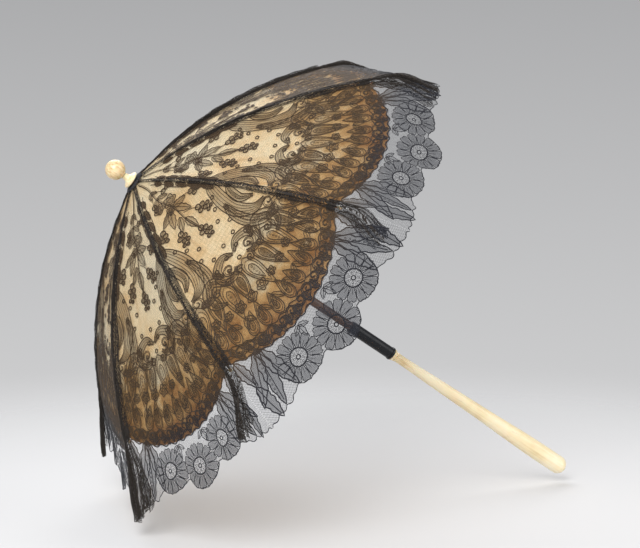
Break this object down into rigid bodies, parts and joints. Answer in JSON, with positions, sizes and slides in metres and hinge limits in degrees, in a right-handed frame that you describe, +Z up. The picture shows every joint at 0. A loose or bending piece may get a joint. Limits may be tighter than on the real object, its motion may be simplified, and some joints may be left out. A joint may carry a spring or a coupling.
{
  "type": "parasol",
  "caption": "Lace-covered folding parasol: a domed silk canopy on steel ribs, a sliding runner, a ball finial, a locking sleeve and a slender tapered ivory handle.",
  "frame": {"origin": "middle of the handle's cylindrical grip, on the stick's axis", "axes": "The parasol is held as it is shown: +Z is up and the stick lies in the XZ plane. It isn't along a row axis: from the ferrule, towards -X and up, it runs to the handle, towards +X, 33.2 degrees below the horizontal. Y is level, square to the stick."},
  "size_m": [0.5666, 0.5844, 0.4901],
  "materials": {
    "ivory": "polished, faint lengthwise grain",
    "black_ribbon": "pinked silk ribbon",
    "stick_wood": "dark polished hardwood",
    "brass": "aged",
    "steel": "drawn wire",
    "rib_steel": "blackened steel",
    "black_enamel": "japanned black",
    "silk": "plain silk with aged patches",
    "lace": "bobbin lace on an open net"
  },
  "bodies": {
    "stick_and_handle": {"stick": "stick_wood", "handle": "ivory", "ball_finial": "ivory", "ferrule_collar": "ivory", "rosette": "black_ribbon", "top_notch": "brass", "notch_wire": "brass", "stop_pin": "steel", "top_catch_spring": "steel", "bottom_catch_spring": "steel", "joint_fork": "brass", "joint_tongue": "brass", "joint_pin": "steel"},
    "runner": {"runner": "brass", "runner_wire": "brass"},
    "sleeve": {"sleeve": "black_enamel"},
    "rib_1": {"rib_1": "rib_steel", "rib_tip_1": "ivory", "silk_panel_1": "silk", "lace_panel_1": "lace"},
    "stretcher_1": {"stretcher_1": "rib_steel"},
    "rib_2": {"rib_2": "rib_steel", "rib_tip_2": "ivory", "silk_panel_2": "silk", "lace_panel_2": "lace"},
    "stretcher_2": {"stretcher_2": "rib_steel"},
    "rib_3": {"rib_3": "rib_steel", "rib_tip_3": "ivory", "silk_panel_3": "silk", "lace_panel_3": "lace"},
    "stretcher_3": {"stretcher_3": "rib_steel"},
    "rib_4": {"rib_4": "rib_steel", "rib_tip_4": "ivory", "silk_panel_4": "silk", "lace_panel_4": "lace"},
    "stretcher_4": {"stretcher_4": "rib_steel"},
    "rib_5": {"rib_5": "rib_steel", "rib_tip_5": "ivory", "silk_panel_5": "silk", "lace_panel_5": "lace"},
    "stretcher_5": {"stretcher_5": "rib_steel"},
    "rib_6": {"rib_6": "rib_steel", "rib_tip_6": "ivory", "silk_panel_6": "silk", "lace_panel_6": "lace"},
    "stretcher_6": {"stretcher_6": "rib_steel"},
    "rib_7": {"rib_7": "rib_steel", "rib_tip_7": "ivory", "silk_panel_7": "silk", "lace_panel_7": "lace"},
    "stretcher_7": {"stretcher_7": "rib_steel"},
    "rib_8": {"rib_8": "rib_steel", "rib_tip_8": "ivory", "silk_panel_8": "silk", "lace_panel_8": "lace"},
    "stretcher_8": {"stretcher_8": "rib_steel"}
  },
  "joints": [
    {"name": "runner_slide", "type": "slide", "parent": "stick_and_handle", "child": "runner", "axis": [0.8368, 0, -0.5476], "range_m": [0, 0.13012], "deforming": ["top_catch_spring", "bottom_catch_spring"]},
    {"name": "rib_1_fold", "type": "hinge", "parent": "stick_and_handle", "child": "rib_1", "pos_m": [-0.49959, 0.00219, 0.33797], "axis": [-0.126, 0.9732, -0.1925], "range_deg": [0, 55], "deforming": ["silk_panel_1", "lace_panel_1"]},
    {"name": "stretcher_1_turn", "type": "hinge", "parent": "rib_1", "child": "stretcher_1", "pos_m": [-0.42009, 0.02445, 0.39852], "axis": [-0.126, 0.9732, -0.1925], "range_deg": [-110, 0]},
    {"name": "rib_2_fold", "type": "hinge", "parent": "stick_and_handle", "child": "rib_2", "pos_m": [-0.50192, 0.00808, 0.33441], "axis": [-0.4659, 0.5255, -0.7119], "range_deg": [0, 55], "deforming": ["silk_panel_2", "lace_panel_2"]},
    {"name": "stretcher_2_turn", "type": "hinge", "parent": "rib_2", "child": "stretcher_2", "pos_m": [-0.44615, 0.09043, 0.3587], "axis": [-0.4659, 0.5255, -0.7119], "range_deg": [-110, 0]},
    {"name": "rib_3_fold", "type": "hinge", "parent": "stick_and_handle", "child": "rib_3", "pos_m": [-0.50585, 0.00925, 0.32841], "axis": [-0.5329, -0.23, -0.8143], "range_deg": [0, 55], "deforming": ["silk_panel_3", "lace_panel_3"]},
    {"name": "stretcher_3_turn", "type": "hinge", "parent": "rib_3", "child": "stretcher_3", "pos_m": [-0.49012, 0.10344, 0.29151], "axis": [-0.5329, -0.23, -0.8143], "range_deg": [-110, 0]},
    {"name": "rib_4_fold", "type": "hinge", "parent": "stick_and_handle", "child": "rib_4", "pos_m": [-0.50908, 0.00499, 0.32347], "axis": [-0.2877, -0.8508, -0.4397], "range_deg": [0, 55], "deforming": ["silk_panel_4", "lace_panel_4"]},
    {"name": "stretcher_4_turn", "type": "hinge", "parent": "rib_4", "child": "stretcher_4", "pos_m": [-0.52625, 0.05585, 0.23629], "axis": [-0.2877, -0.8508, -0.4397], "range_deg": [-110, 0]},
    {"name": "rib_5_fold", "type": "hinge", "parent": "stick_and_handle", "child": "rib_5", "pos_m": [-0.50971, -0.00219, 0.3225], "axis": [0.126, -0.9732, 0.1925], "range_deg": [0, 55], "deforming": ["silk_panel_5", "lace_panel_5"]},
    {"name": "stretcher_5_turn", "type": "hinge", "parent": "rib_5", "child": "stretcher_5", "pos_m": [-0.53337, -0.02445, 0.22541], "axis": [0.126, -0.9732, 0.1925], "range_deg": [-110, 0]},
    {"name": "rib_6_fold", "type": "hinge", "parent": "stick_and_handle", "child": "rib_6", "pos_m": [-0.50739, -0.00808, 0.32606], "axis": [0.4659, -0.5255, 0.7119], "range_deg": [0, 55], "deforming": ["silk_panel_6", "lace_panel_6"]},
    {"name": "stretcher_6_turn", "type": "hinge", "parent": "rib_6", "child": "stretcher_6", "pos_m": [-0.50732, -0.09043, 0.26523], "axis": [0.4659, -0.5255, 0.7119], "range_deg": [-110, 0]},
    {"name": "rib_7_fold", "type": "hinge", "parent": "stick_and_handle", "child": "rib_7", "pos_m": [-0.50346, -0.00925, 0.33206], "axis": [0.5329, 0.23, 0.8143], "range_deg": [0, 55], "deforming": ["silk_panel_7", "lace_panel_7"]},
    {"name": "stretcher_7_turn", "type": "hinge", "parent": "rib_7", "child": "stretcher_7", "pos_m": [-0.46335, -0.10344, 0.33243], "axis": [0.5329, 0.23, 0.8143], "range_deg": [-110, 0]},
    {"name": "rib_8_fold", "type": "hinge", "parent": "stick_and_handle", "child": "rib_8", "pos_m": [-0.50023, -0.00499, 0.337], "axis": [0.2877, 0.8508, 0.4397], "range_deg": [0, 55], "deforming": ["silk_panel_8", "lace_panel_8"]},
    {"name": "stretcher_8_turn", "type": "hinge", "parent": "rib_8", "child": "stretcher_8", "pos_m": [-0.42722, -0.05585, 0.38764], "axis": [0.2877, 0.8508, 0.4397], "range_deg": [-110, 0]},
    {"name": "sleeve_slide", "type": "slide", "parent": "stick_and_handle", "child": "sleeve", "axis": [-0.8368, 0, 0.5476], "range_m": [0, 0.032]}
  ],
  "couplings": [
    {"joint": "rib_1_fold", "follows": "runner_slide", "rad_per_m": 7.3774},
    {"joint": "stretcher_1_turn", "follows": "runner_slide", "rad_per_m": -14.755},
    {"joint": "rib_2_fold", "follows": "runner_slide", "rad_per_m": 7.3774},
    {"joint": "stretcher_2_turn", "follows": "runner_slide", "rad_per_m": -14.755},
    {"joint": "rib_3_fold", "follows": "runner_slide", "rad_per_m": 7.3774},
    {"joint": "stretcher_3_turn", "follows": "runner_slide", "rad_per_m": -14.755},
    {"joint": "rib_4_fold", "follows": "runner_slide", "rad_per_m": 7.3774},
    {"joint": "stretcher_4_turn", "follows": "runner_slide", "rad_per_m": -14.755},
    {"joint": "rib_5_fold", "follows": "runner_slide", "rad_per_m": 7.3774},
    {"joint": "stretcher_5_turn", "follows": "runner_slide", "rad_per_m": -14.755},
    {"joint": "rib_6_fold", "follows": "runner_slide", "rad_per_m": 7.3774},
    {"joint": "stretcher_6_turn", "follows": "runner_slide", "rad_per_m": -14.755},
    {"joint": "rib_7_fold", "follows": "runner_slide", "rad_per_m": 7.3774},
    {"joint": "stretcher_7_turn", "follows": "runner_slide", "rad_per_m": -14.755},
    {"joint": "rib_8_fold", "follows": "runner_slide", "rad_per_m": 7.3774},
    {"joint": "stretcher_8_turn", "follows": "runner_slide", "rad_per_m": -14.755}
  ]
}
